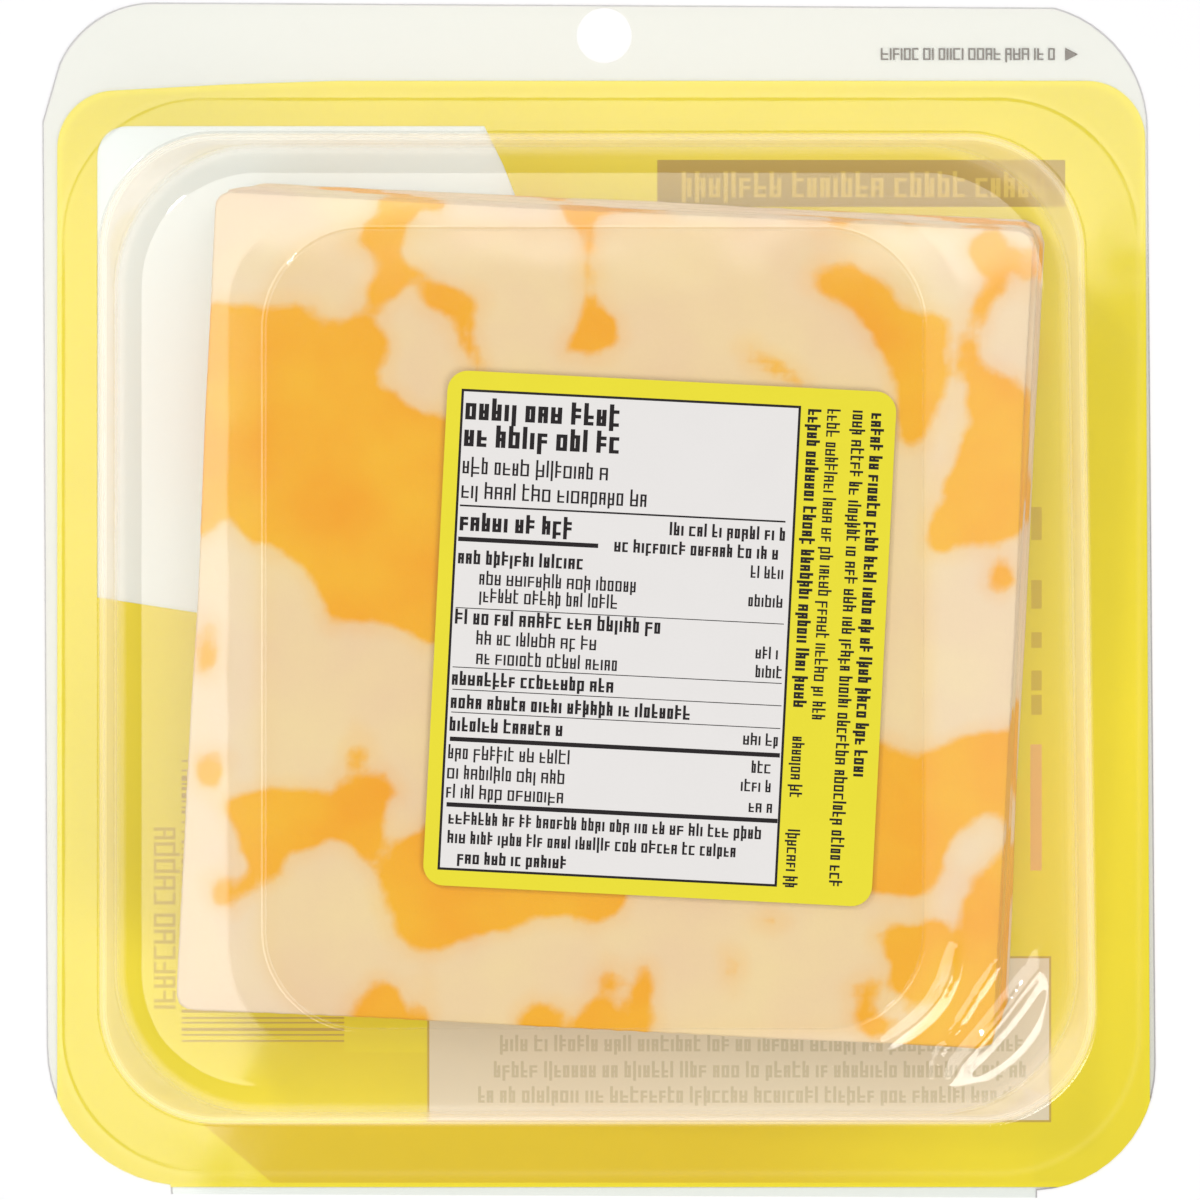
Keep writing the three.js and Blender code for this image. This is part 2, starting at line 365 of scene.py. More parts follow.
# The darker yellow over the bottom flange is painted shade, fading out towards the lower right
shaded_yellow_part = [(-45.6, -60.2), (-37.6, -67.0), (50.0, -67.0), (50.0, -60.2)]
window = [
    (-57.7, 0.3),
    (-46.6, -1.4),
    (-2.0, -8.5),
    (-3.2, 12.0),
    (-6.0, 32.0),
    (-9.4, 45.9),
    (-11.0, 50.0),
    (-13.2, 54.5),
    *arc(-54.3, 51.1, 3.4, 90, 180, 6),
]
foot_strip = box_shape(-49.0, -68.7, 50.2, -67.0)
dark_band = box_shape(6.7, 45.2, 53.6, 50.6)
ingredients_panel = box_shape(-19.5, -59.8, 51.75, -41.2)
ingredients_line = box_shape(-19.75, -60.05, 52.0, -40.95)
solid_block = box_shape(-29.3, -52.0, -19.75, -38.0)
pink_mark = box_shape(49.6, -31.1, 50.9, -16.6)
header_arrow = [(53.6, 62.0), (55.1, 62.75), (53.6, 63.5)]
stripe_left, stripe_bottom, stripe_right, stripe_top = -48.0, -51.2, -29.3, -18.4
stripe_depths, stripe_gaps = [0.2, 0.2, 0.35, 0.6], [0.25, 0.35, 0.5, 0.9]
side_mark_left, side_mark_right = 49.7, 50.9
side_marks = [(6.9, 10.7), (-1.0, 2.3), (-5.5, -3.7), (-10.4, -8.1), (-13.2, -10.9)]
# Rows of strokes: left, right, base line, height of a capital, width of a stroke
film_rows = [
    (-11.4, 49.8, -51.9, 1.9, 0.34),
    (-12.1, 49.8, -54.9, 1.9, 0.34),
    (-13.9, 49.6, -57.8, 1.9, 0.34),
]
header_row = (32.4, 53.2, 62.1, 1.35, 0.2)
band_row = (9.5, 52.0, 46.3, 3.0, 0.5)
upright_row = (-47.0, -24.7, 48.7, 2.5, 0.4)

film_glint, film_gloss = 0.01, 0.15
film_clear = clear_plastic("film_clear", (0.96, 0.974, 0.965, 1), film_glint, film_gloss, 0.05)
# Painted shade: the clear film of the header and margins is tinted darker than the window and the foot strip
film_shaded_header = clear_plastic("film_shaded_header", (0.928, 0.931, 0.911, 1), film_glint, film_gloss, 0.012)
# Painted shade: a darker tint along the cut edge of the film
film_shaded_edge = clear_plastic("film_shaded_edge", (0.8, 0.79, 0.8, 1), film_glint, film_gloss, 0.05)
# Painted shade over the bottom flange, lighter again towards the right
film_shaded_yellow = printed(
    "film_shaded_yellow", colour(218, 189, 0), 0.4, amount=0.04, far_tone=colour(233, 214, 18), change=(12, 50)
)
# Its broad light and dark patches are partly uneven ink and partly painted sheen of the wavy film
film_yellow = printed("film_yellow", colour(230, 212, 20), 0.4, amount=0.3, patches=22.0)
film_deep_yellow = printed("film_deep_yellow", colour(234, 218, 20), 0.3, amount=0.04)
film_dark = printed("film_dark_ink", colour(178, 148, 36), 0.35)
film_mark = printed("film_mark_ink", colour(96, 86, 74), 0.35)
film_faint = printed("film_faint_ink", colour(206, 180, 30), 0.4)
film_white = printed("film_white_ink", colour(222, 210, 183), 0.35, amount=0.03)
film_grey = printed("film_grey_ink", colour(200, 188, 156), 0.4)
film_pale_mark = printed("film_pale_mark_ink", colour(208, 180, 60), 0.4)
film_line = printed("film_line_ink", colour(196, 166, 62), 0.4)
film_pink = printed("film_pink_ink", colour(232, 184, 100), 0.4)

chance = random.Random(7)
film_prints = [
    (film_shaded_edge, cut_outline),
    (film_shaded_header, within_edge),
    (film_clear, foot_strip),
    (film_deep_yellow, yellow_field),
    (film_yellow, within_field),
    (film_shaded_yellow, shaded_yellow_part),
    (film_clear, window),
    (film_dark, dark_band),
    (film_deep_yellow, solid_block),
    (film_line, ingredients_line),
    (film_white, ingredients_panel),
]
for row in film_rows:
    film_prints += [(film_grey, block) for block in mock_type(*row, chance)]
film_prints.append((film_mark, header_arrow))
film_prints += [(film_mark, block) for block in mock_type(*header_row, chance, capitals=True)]
film_prints += [(film_pale_mark, block) for block in mock_type(*band_row, chance)]
y = stripe_top
while y > stripe_bottom:
    depth = chance.choice(stripe_depths)
    film_prints.append((film_line, box_shape(stripe_left, y - depth, stripe_right, y)))
    y -= depth + chance.choice(stripe_gaps)
for block in mock_type(*upright_row, chance, capitals=True):
    film_prints.append((film_faint, [(-y, x) for x, y in block]))
for low, high in side_marks:
    film_prints.append((film_faint, box_shape(side_mark_left, low, side_mark_right, high)))
film_prints.append((film_pink, pink_mark))

lid_film = printed_sheet("printed_lid_film", cut_outline, [hang_hole], film_prints, film_bottom, film_top)
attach(lid_film, "root")
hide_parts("lid_film")

# Slices. Twelve slices of marbled cheese, an orange and a pale curd pressed into one block and cut square.
# They lie loose in a stack; each follows the edge of its own solid. The same marbling runs down through the
# stack, drifting a little from slice to slice.
slice_count = 12
slice_round = 0.32
round_steps = 3
edge_wander = 0.1
wander_across, wander_down = (2.1, 3.0), (1.7, 2.0)
top_cells, lower_cells = 92, 48

orange_curd = {
    "left mass": [
        (-47, 33.1), (-33.2, 33.1), (-32.1, 32.6), (-31.0, 31.2), (-29.7, 30.4), (-28.2, 31.5), (-27.1, 32.1),
        (-26.6, 33.2), (-26.6, 34.3), (-25.3, 35.7), (-24.5, 37.3), (-24.8, 38.3), (-26.1, 38.9),
        (-27.4, 39.6), (-26.8, 41.4), (-25.6, 42.6), (-24.0, 43.2), (-24.8, 44.0), (-24.8, 49), (-17.4, 49),
        (-17.4, 43.7), (-20.2, 43.5), (-21.3, 41.9), (-22.1, 40.9), (-22.1, 38.6), (-20.9, 37.2),
        (-20.0, 36.4), (-21.9, 35.2), (-23.2, 33.8), (-24.7, 32.5), (-25.2, 31.4), (-24.3, 30.2),
        (-23.7, 28.9), (-24.2, 27.3), (-25.4, 26.0), (-24.5, 24.0), (-22.6, 22.9), (-19.3, 20.6),
        (-17.5, 20.6), (-12, 18), (-10, 8), (-14, -4), (-18.4, -5.3), (-20.3, -4.7), (-21.6, -3.6),
        (-23.5, -2.9), (-30.4, -2.3), (-31.3, -0.3), (-32.1, 1.9), (-33.3, 3.6), (-34.7, 4.7), (-37.8, 6.2),
        (-39.4, 6.8), (-40.4, 8.1), (-41.1, 9.7), (-43.3, 7.8), (-44.7, 6.8), (-49, 6.8),
    ],
    "finger": [
        (-19.9, 35.2), (-17.7, 35.2), (-15.1, 34.7), (-13.4, 33.8), (-14.0, 31.8), (-13.8, 29.2),
        (-13.1, 26.9), (-12.2, 23), (-14.2, 23), (-14.6, 26.1), (-15.1, 28.2), (-16.2, 30.5), (-16.9, 32.1),
        (-18.3, 32.1), (-19.7, 32.7),
    ],
    "top streak": [
        (-4.4, 49), (8.2, 49), (8.2, 43.4), (4.0, 43.2), (-0.2, 43.0), (-0.8, 41.0), (-0.9, 38.3),
        (-0.5, 35.1), (0.2, 33.4), (1.4, 31.8), (2.4, 30.3), (2.2, 28.7), (0.0, 27.3), (-3.4, 27.6),
        (-4.0, 28.7), (-2.7, 30.2), (-1.3, 32.8), (-1.7, 35.1), (-2.1, 38.3), (-2.2, 41.0), (-3.6, 42.6),
        (-4.4, 43.2),
    ],
    "slanting fleck": [
        (15.6, 28.0), (16.8, 28.4), (19.6, 26.7), (23.2, 23.9), (21.9, 23.8), (19.2, 25.2), (16.9, 26.3),
    ],
    "top edge": [
        (21.5, 49), (21.5, 44.0), (25.0, 42.9), (25.4, 41.9), (27.0, 41.5), (28.6, 41.9), (29.0, 42.9),
        (40.5, 42.3), (40.5, 49),
    ],
    "right arm": [
        (24.0, 36.7), (25.2, 37.7), (27.8, 37.8), (30.0, 37.2), (31.8, 36.0), (33.0, 34.1), (34.6, 32.5),
        (36.2, 31.7), (37.8, 32.0), (39.0, 31.2), (39.1, 28.9), (39.0, 26.3), (38.5, 24.4), (37.8, 22.4),
        (37.3, 20.1), (36.4, 18.2), (34.9, 17.5), (33.8, 17.9), (33.4, 20.5), (33.9, 23.0), (33.1, 25.0),
        (32.0, 27.3), (30.5, 29.5), (29.1, 31.8), (27.4, 33.4), (25.2, 34.4), (24.0, 35.4),
    ],
    "right column": [
        (41.1, 40.3), (42.7, 41.2), (44.3, 41.3), (45.6, 39.9), (46.6, 38.3), (46.4, 36.4), (45.2, 34.6),
        (43.6, 32.8), (42.6, 30.0), (42.4, 27.0), (44.0, 25.6), (47.0, 24.6), (49.5, 20.5), (49.5, 8.0),
        (46.4, 7.6), (45.3, 6.6), (42.7, 6.2), (40.1, 6.3), (39.1, 5.3), (37.4, 5.6), (36.6, 7.5),
        (37.2, 9.7), (38.8, 12.0), (39.6, 15.3), (40.5, 17.9), (41.6, 20.5), (41.1, 23.7), (40.3, 25.8),
        (40.6, 29.0), (41.4, 31.8), (42.6, 34.4), (43.2, 36.0), (42.2, 37.7), (41.2, 38.6),
    ],
    "lower right mass": [
        (28, -15), (32.3, -16.2), (34.9, -17.3), (36.9, -17.0), (41.1, -15.4), (45.9, -14.3), (50, -14.3),
        (50, -53), (33.0, -53), (34.0, -49.6), (35.6, -47.8), (37.2, -46.4), (38.6, -44.4), (39.6, -42.0),
        (40.0, -39.5), (40.2, -37.0), (40.8, -34.6), (42.0, -31.5), (43.7, -30.4), (45.0, -28.6),
        (45.9, -27.0), (45.0, -23.6), (42.7, -24.6), (39.9, -25.7), (39.1, -27.0), (38.8, -29.5),
        (38.2, -31.5), (36.9, -32.5), (34.9, -33.5), (32.6, -33.2), (28, -32),
    ],
    "lower right hook": [
        (31.3, -36.9), (32.6, -36.3), (34.6, -36.2), (36.0, -36.0), (37.4, -35.2), (39.0, -35.4),
        (39.4, -37.6), (38.9, -40.5), (38.0, -42.8), (36.8, -44.8), (35.6, -46.0), (34.4, -46.0),
        (34.2, -44.6), (33.0, -44.2), (32.2, -43.2), (32.7, -41.4), (32.3, -39.4), (31.4, -38.2),
    ],
    "lower right foot": [
        (28.2, -43.4), (29.6, -42.6), (31.2, -43.0), (31.6, -44.6), (31.0, -45.8), (32.4, -46.6),
        (32.6, -48.0), (31.4, -49.0), (29.6, -48.8), (28.8, -47.2), (28.8, -45.2),
    ],
    "lower left mass": [
        (-41.6, -22.4), (-40.4, -21.7), (-37.2, -21.2), (-33.9, -21.1), (-31.7, -21.7), (-30.0, -22.2),
        (-29.2, -20.7), (-27.8, -20.1), (-26.1, -19.8), (-24.5, -19.3), (-23.1, -19.9), (-22.9, -21.4),
        (-23.9, -22.4), (-24.0, -25.0), (-24.5, -27.2), (-24.3, -29.5), (-23.4, -28.4), (-21.5, -26.8),
        (-19.1, -25.4), (-14, -24), (-6, -26), (4, -30), (2.8, -33.7), (1.8, -35.4), (-0.5, -36.2),
        (-3.7, -35.5), (-7.0, -35.8), (-9.9, -36.6), (-12.5, -37.4), (-14.8, -38.2), (-17.7, -38.8),
        (-20.5, -38.8), (-22.6, -38.0), (-23.4, -36.4), (-23.8, -34.8), (-24.2, -33.4), (-24.9, -31.2),
        (-25.6, -29.6), (-26.8, -28.5), (-28.4, -27.2), (-30.0, -27.1), (-31.7, -27.9), (-33.9, -28.2),
        (-35.2, -28.5), (-35.6, -30.2), (-36.2, -31.3), (-37.5, -31.8), (-39.1, -32.2), (-40.4, -33.2),
        (-41.0, -34.2), (-42.0, -34.2), (-43.2, -33.4), (-43.5, -31.6), (-42.0, -30.8), (-40.4, -30.8),
        (-39.4, -29.8), (-40.3, -28.2), (-40.7, -25.6), (-41.6, -23.7),
    ],
    "bottom fleck": [
        (-25.2, -42.9), (-23.9, -42.3), (-22.2, -43.6), (-21.8, -45.6), (-21.4, -47.2), (-20.4, -53),
        (-29.5, -53), (-28.2, -46.6), (-26.8, -44.8),
    ],
    "bottom arch": [
        (1.0, -40.8), (2.4, -41.2), (2.3, -43.0), (1.4, -45.0), (2.6, -46.2), (3.6, -44.4), (4.3, -42.4),
        (4.4, -40.9), (5.8, -41.0), (5.5, -43.5), (6.0, -47.0), (6.2, -53), (-3.0, -53), (-2.5, -47.4),
        (-1.2, -45.2), (0.1, -43.0),
    ],
}
# Small spots of orange: middle x and y, half width, half height
orange_spots = [
    (-26.9, -17.7, 1.2, 1.8),
    (-44.0, -5.7, 1.3, 2.1),
    (-43.8, -18.8, 1.9, 1.9),
    (-19.9, -46.8, 0.9, 1.8),
    (-6.4, -47.2, 2.3, 2.3),
    (15.1, -41.2, 0.6, 0.9),
    (19.3, -36.2, 0.5, 0.4),
    (45.3, 2.6, 1.3, 1.5),
    (48.2, 37.5, 1.2, 1.8),
]


def signed_distance(points, outline):
    """How far points lie from an outline, negative inside it."""
    start = np.asarray(outline, float)
    edge = np.roll(start, -1, axis=0) - start
    offset = points[:, None] - start
    along = np.clip((offset * edge).sum(axis=-1) / (edge**2).sum(axis=-1), 0, 1)
    gap = np.linalg.norm(offset - along[..., None] * edge, axis=-1).min(axis=1)
    return np.where(inside(points, outline), -gap, gap)


map_reach, map_step, map_softening = 58.0, 0.5, 3


def make_curd_map():
    """Distance to the orange curd on a square raster, softened so that no outline keeps a sharp corner."""
    ticks = np.arange(-map_reach, map_reach + map_step, map_step)
    points = np.stack(np.meshgrid(ticks, ticks, indexing="ij"), axis=-1).reshape(-1, 2)
    level = np.min([signed_distance(points, outline) for outline in orange_curd.values()], axis=0)
    for x, y, half_x, half_y in orange_spots:
        reach = np.hypot((points[:, 0] - x) / half_x, (points[:, 1] - y) / half_y)
        level = np.minimum(level, (reach - 1) * min(half_x, half_y))
    level = level.reshape(len(ticks), len(ticks))
    for _ in range(map_softening):
        for axis in (0, 1):
            level = (np.roll(level, 1, axis) + 2 * level + np.roll(level, -1, axis)) / 4
    return level


curd_map = make_curd_map()


def read_curd_map(points):
    """The map's distance at any points, blended between the raster's."""
    place = (np.clip(points, -map_reach + 1, map_reach - 1) + map_reach) / map_step
    low = np.floor(place).astype(int)
    (u, v), (i, j) = (place - low).T, low.T
    return (
        curd_map[i, j] * (1 - u) * (1 - v)
        + curd_map[i + 1, j] * u * (1 - v)
        + curd_map[i, j + 1] * (1 - u) * v
        + curd_map[i + 1, j + 1] * u * v
    )


def slice_edge(node):
    """A slice solid's widest outline, anticlockwise from its lower right corner, its middle and heights."""
    points = np.array([vertex.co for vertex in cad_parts[node].data.vertices]) / mm
    low, high = points[:, 2].min(), points[:, 2].max()
    near_foot = (points[:, 2] > low + 0.1) & (points[:, 2] < (low + high) / 2)
    level = np.unique(points[near_foot].round(3), axis=0)[:, :2]
    middle = (level.min(axis=0) + level.max(axis=0)) / 2
    bearing = np.arctan2(*(level - middle).T[::-1])
    ring = level[np.argsort(bearing)]
    reach = np.linalg.norm(ring - middle, axis=1)
    bearing = np.sort(bearing)
    lower_right = (bearing > -math.pi / 2) & (bearing < 0)
    start = int(np.argmax(np.where(lower_right, reach, 0)))
    return np.roll(ring, -start, axis=0), middle, low, high


def along_ring(ring, share):
    """The point at each share of the way round a closed ring."""
    closed = np.vstack([ring, ring[:1]])
    length = np.concatenate([[0], np.cumsum(np.linalg.norm(np.diff(closed, axis=0), axis=1))])
    at = share * length[-1]
    return np.stack([np.interp(at, length, closed[:, 0]), np.interp(at, length, closed[:, 1])], axis=-1)


def square_cells(cells):
    """A grid over the unit square: how far out each point lies and its share of the way round."""
    ticks = np.linspace(-1, 1, cells + 1)
    u, v = (grid.ravel() for grid in np.meshgrid(ticks, ticks, indexing="ij"))
    out = np.maximum(np.abs(u), np.abs(v))
    safe = np.where(out == 0, 1, out)
    a, b = u / safe, v / safe
    sides = [a >= 1 - 1e-9, b >= 1 - 1e-9, a <= -1 + 1e-9]
    share = np.select(sides, [(b + 1) / 8, (3 - a) / 8, (5 - b) / 8], (7 + a) / 8) % 1.0
    return out, share


def slice_mesh(name, node, cells):
    """A slice with a grid on both faces and a softly rounded, slightly wandering edge."""
    ring, middle, low, high = slice_edge(node)
    side = cells + 1
    out, share = square_cells(cells)
    half = np.abs(ring - middle).max()
    flat = middle + (out * (1 - slice_round / half))[:, None] * (along_ring(ring, share) - middle)
    index = np.arange(side * side).reshape(side, side)
    border = np.concatenate([index[-1, :-1], index[::-1, -1][:-1], index[0, ::-1][:-1], index[:-1, 0]])
    border_share = share[border]
    turns = np.linspace(-90, 90, 2 * round_steps + 1)[1:-1]
    rings = []
    for turn in np.radians(turns):
        inset = slice_round * (1 - math.cos(turn))
        from_bottom, from_top = slice_round * (1 + math.sin(turn)), slice_round * (1 - math.sin(turn))
        rise = from_bottom if turn <= 0 else high - low - from_top
        rings.append((inset, rise))
        if turn == 0:
            rings.append((inset, high - low - slice_round))
    edge = along_ring(ring, border_share)
    levels = []
    for inset, rise in rings:
        across = np.sin(wander_across[0] * edge[:, 0] + wander_across[1] * low)
        down = np.sin(wander_down[0] * edge[:, 1] + wander_down[1] * rise + low)
        wander = edge_wander * across * down
        scale = 1 - (inset + np.abs(wander)) / half
        moved = middle + scale[:, None] * (edge - middle)
        levels.append(np.column_stack([moved, np.full(len(edge), low + rise)]))
    bottom = np.column_stack([flat, np.full(len(flat), low)])
    top = np.column_stack([flat, np.full(len(flat), high)])
    vertices = np.vstack([bottom, top, *levels])
    quads = np.stack([index[:-1, :-1], index[1:, :-1], index[1:, 1:], index[:-1, 1:]], axis=-1).reshape(-1, 4)
    count = side * side
    loops = [border] + [2 * count + len(border) * k + np.arange(len(border)) for k in range(len(levels))]
    loops.append(border + count)
    faces = quads[:, ::-1].tolist() + (quads + count).tolist()
    for lower, upper in zip(loops, loops[1:]):
        faces += np.stack([lower, np.roll(lower, -1), np.roll(upper, -1), upper], axis=-1).tolist()
    piece = add_mesh(name, vertices, faces, [])
    piece.data.polygons.foreach_set("use_smooth", [True] * len(faces))
    return piece, vertices, ring, middle


def add_values(piece, name, values):
    """A number for each vertex, for the shader to read."""
    layer = piece.data.attributes.new(name, "FLOAT", "POINT")
    layer.data.foreach_set("value", values.astype(np.float32))


def box_distance(points, middle, half_x, half_y, radius):
    """How far points lie from a rounded rectangle, negative inside it."""
    reach = np.abs(points - np.array(middle)) - (np.array([half_x, half_y]) - radius)
    return np.linalg.norm(np.maximum(reach, 0), axis=1) + np.minimum(reach.max(axis=1), 0) - radius


curd_fade, bleed_fade, bleed_share = (1.85, 0.75), (3.6, 1.1), 0.22
ragged_scale, ragged_depth = 240.0, 2.6
blotch_scale, crumb_scale, crumb_depth = 75.0, 900.0, 0.0003
curd_sheen, curd_shine = (0.42, 0.6), 0.25


def make_cheese():
    """Two curds with a soft border between them; painted shade deepens them under the tray's panel and along
    its outline.
    """
    finish, tree = new_material("marbled_cheese")
    place = add_node(tree, "ShaderNodeTexCoord").outputs["Object"]
    distance = add_node(tree, "ShaderNodeAttribute", attribute_name="curd").outputs["Fac"]
    panel_shade = add_node(tree, "ShaderNodeAttribute", attribute_name="panel_shade").outputs["Fac"]
    ragged = noise(tree, place, ragged_scale, 3.0)
    shifted = calculate(tree, "MULTIPLY_ADD", ragged, ragged_depth, distance)
    fades = []
    for (start, end), most in [(curd_fade, 1.0), (bleed_fade, bleed_share)]:
        limits = {"Value": shifted, "From Min": start, "From Max": end, "To Max": most}
        fade = add_node(tree, "ShaderNodeMapRange", limits, interpolation_type="SMOOTHSTEP")
        fades.append(fade.outputs[0])
    orange, bleed = fades
    limits = {"Value": noise(tree, place, blotch_scale, 3.0), "From Min": 0.3, "From Max": 0.7}
    slow = add_node(tree, "ShaderNodeMapRange", limits).outputs[0]
    pale, deep = blend(tree, slow, *pale_curd), blend(tree, slow, *deep_curd)
    bled = blend(tree, bleed, pale, deep)
    curds = blend(tree, orange, bled, deep)
    # Painted shade: the curds deepen under the tray's panel and along its outline
    deeper = blend(tree, panel_shade, curds, panel_shade_tone, "MULTIPLY")
    crumb = noise(tree, place, crumb_scale, 4.0)
    bump = add_node(tree, "ShaderNodeBump", {"Height": crumb, "Strength": 0.25, "Distance": crumb_depth})
    sheen = add_node(
        tree, "ShaderNodeMapRange", {"Value": slow, "To Min": curd_sheen[0], "To Max": curd_sheen[1]}
    )
    surface = add_node(
        tree,
        "ShaderNodeBsdfPrincipled",
        {
            "Base Color": deeper,
            "Roughness": sheen.outputs[0],
            "Specular IOR Level": curd_shine,
            "Normal": bump.outputs[0],
        },
    )
    add_node(tree, "ShaderNodeOutputMaterial", {"Surface": surface.outputs[0]})
    return finish


pale_curd = colour(238, 217, 174), colour(234, 207, 176)
deep_curd = colour(243, 185, 6), colour(242, 166, 0)
# The tone of the painted shade under the tray's panel
panel_shade_tone = colour(255, 248, 228)
cheese = make_cheese()
top_middle = slice_edge(f"slice_{slice_count:02d}")[1]
tray_middle = (-0.5, -3.3)
panel_half_x, panel_half_y, panel_radius = 37.0, 44.9, 11.2
# From slice to slice the marbling moves sideways, bends and swells: amounts, and the waves they follow
drift, sway_step, swell_step = np.array([0.45, -0.3]), 0.3, 0.25
sway_wave, sway_shift = 0.21, 0.5
swell_wave_x, swell_wave_y, swell_shift = 0.17, 0.23, 0.8
# How deep the painted shade on the top slice is: under the tray's panel, and along the panel's outline
panel_shade_share, panel_shade_reach, panel_shade_fade = 0.75, 0.8, 3
outline_share, outline_reach = 0.25, 1.2

for number in range(1, slice_count + 1):
    depth = slice_count - number
    cells = top_cells if depth == 0 else lower_cells
    piece, vertices, ring, middle = slice_mesh(f"cheese_slice_{number:02d}", f"slice_{number:02d}", cells)
    flat = vertices[:, :2] - middle + top_middle
    sway = sway_step * depth * np.sin(sway_wave * flat[:, ::-1] + sway_shift * depth)
    swell_phase = swell_wave_x * flat[:, 0] + swell_wave_y * flat[:, 1] + swell_shift * depth
    swell = swell_step * depth * np.sin(swell_phase)
    curd = read_curd_map(flat + depth * drift + sway) + swell
    # Painted shade on the top slice: under the tray's panel, and in a band along its outline
    panel_distance = box_distance(flat, tray_middle, panel_half_x, panel_half_y, panel_radius)
    under_panel = panel_shade_share / (1 + np.exp(panel_shade_fade * (panel_distance - panel_shade_reach)))
    panel_edge = outline_share * np.exp(-((panel_distance / outline_reach) ** 2))
    panel_shade = (under_panel + panel_edge) * (depth == 0)
    add_values(piece, "curd", curd)
    add_values(piece, "panel_shade", panel_shade)
    piece.data.materials.append(cheese)
    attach(piece, "root")
    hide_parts(f"slice_{number:02d}")

# Tray. Clear sheet drawn over a mould: a flat floor with a raised panel, a soft shoulder, drafted walls with
# a narrow ledge at the foot, and a wide flange that is welded to the film. The sheet has creased at the lower
# right shoulder.
wall = 0.35
floor_z, panel_z = 26.21, 26.51
flange_z = 0.65
ring_steps = (44, 30)
shoulder_line = (41.2, 47.6, 12.2)
shoulder = (50.0, 50.6, 12.4)
shoulder_drop = 0.1
bend_radius, wall_draft = 4.0, 6
rim = (57.3, 57.3, 13.9)
right_splay = 0.015
bead_middle = (0.1, -4.0)
bead = (62.0, 61.9, 16.4)
bead_height, bead_width = 0.015, 0.35


def station(shape, inset, z):
    """One level of the tray: the shape drawn in by an inset, at a height."""
    return np.array([shape[0] - inset, shape[1] - inset, shape[2] - inset, z])


def rounded_box(half_x, half_y, radius, corner_steps=8, side_steps=1):
    """A rounded rectangle about the origin, anticlockwise, its corners and sides divided into steps."""
    points = []
    for quarter, (sign_x, sign_y) in enumerate([(1, 1), (-1, 1), (-1, -1), (1, -1)]):
        corner = sign_x * (half_x - radius), sign_y * (half_y - radius)
        points += arc(*corner, radius, 90 * quarter, 90 * quarter + 90, corner_steps)
        last = np.array(points[-1])
        length = 2 * ((half_x if quarter % 2 == 0 else half_y) - radius)
        way = np.array([(-1, 0), (0, -1), (1, 0), (0, 1)][quarter])
        points += [tuple(last + way * length * step / side_steps) for step in range(1, side_steps)]
    return np.array(points)


def tray_ring(half_x, half_y, radius, z):
    """One ring of the tray. The right wall splays out towards the bottom edge."""
    flat = rounded_box(half_x, half_y, radius, *ring_steps)
    splay = right_splay * max(half_x - panel_half_x, 0) / (rim[0] - panel_half_x)
    rightness = 0.5 + flat[:, 0] / (2 * half_x)
    x = tray_middle[0] + flat[:, 0] - splay * rightness * flat[:, 1]
    return np.column_stack([x, tray_middle[1] + flat[:, 1], np.full(len(flat), z)])


panel = (panel_half_x, panel_half_y, panel_radius)
# Down the edge of the panel, and down the ledge at the foot: inset, height
panel_step = [
    (0.3, panel_z),
    (0.1, panel_z),
    (0.03, panel_z - 0.01),
    (0.0, panel_z - 0.04),
    (-0.12, floor_z + 0.04),
    (-0.14, floor_z + 0.01),
    (-0.2, floor_z),
    (-0.35, floor_z),
]
ledge = [
    (1.18, 2.45),
    (1.05, 2.25),
    (0.85, 2.15),
    (0.68, 2.0),
    (0.6, 1.7),
    (0.55, 1.4),
    (0.5, 1.1),
    (0.38, 0.8),
    (0.2, 0.68),
    (0, flange_z),
]
wall_foot = (1.25, 2.75)
bend_steps = 14
profile = [(station(panel, inset, z), 1) for inset, z in panel_step]
profile.append((station(shoulder_line, 0, floor_z), 10))
profile.append((station(shoulder, 0, floor_z - shoulder_drop), 26))
for angle in np.radians(np.linspace(0, 90 - wall_draft, bend_steps + 1)[1:]):
    reach, drop = bend_radius * math.sin(angle), bend_radius * (1 - math.cos(angle))
    profile.append((station(shoulder, -reach, floor_z - shoulder_drop - drop), 1))
profile.append((station(rim, *wall_foot), 12))
profile += [(station(rim, inset, z), 1) for inset, z in ledge]
stations = [profile[0][0]]
for target, steps in profile[1:]:
    start = stations[-1]
    stations += [start + (target - start) * step / steps for step in range(1, steps + 1)]
inner_rings = 22
first = stations[0]
inner = [np.array([*(first[:3] * share), first[3]]) for share in np.arange(1, inner_rings) / inner_rings]
rings = [tray_ring(*each) for each in [*inner, *stations]]

# How milky each face of the sheet is at rising heights, partly real haze and partly painted sheen for
# reflections: most on the ledge and walls, least on the flat floor
haze_and_sheen_heights = [0.65, 0.75, 1.1, 1.7, 2.0, 2.3, 2.5, 2.8, 4.0, 20.0, 22.5, 24.0, 25.5, 26.2, 26.45]
haze_and_sheen_values = [0.003, 0.1, 0.5, 0.6, 0.3, 0.15, 0.35, 0.5, 0.32, 0.28, 0.18, 0.08, 0.02, 0.015, 0.002]
# Painted sheen: on the floor the milk grows towards the right side
sheen_lean, sheen_lean_height = 0.7, 25

# Creases in the shoulder: points, height, half width, and how broken the line is
creases = [
    ([(51.4, -38.6), (49.6, -40.9), (47.7, -43.4), (45.4, -46.5), (43.2, -49.1), (40.7, -51.8),
      (39.0, -54.6)], 0.58, 1.05, 0.1),
    ([(40.4, -37.4), (39.9, -39.8), (39.2, -42.4), (38.2, -44.5), (37.0, -46.0), (35.4, -47.5), (33.6, -48.8),
      (31.2, -50.2)], 0.42, 0.8, 0.15),
    ([(45.5, -39.0), (44.1, -41.6), (42.3, -44.3), (40.8, -46.7), (39.4, -48.9), (38.3, -50.5), (37.7, -52.1),
      (37.6, -54.8)], 0.27, 0.5, 0.7),
    ([(45.6, -37.8), (48.4, -37.6), (51.4, -38.5)], 0.3, 0.55, 0.2),
]


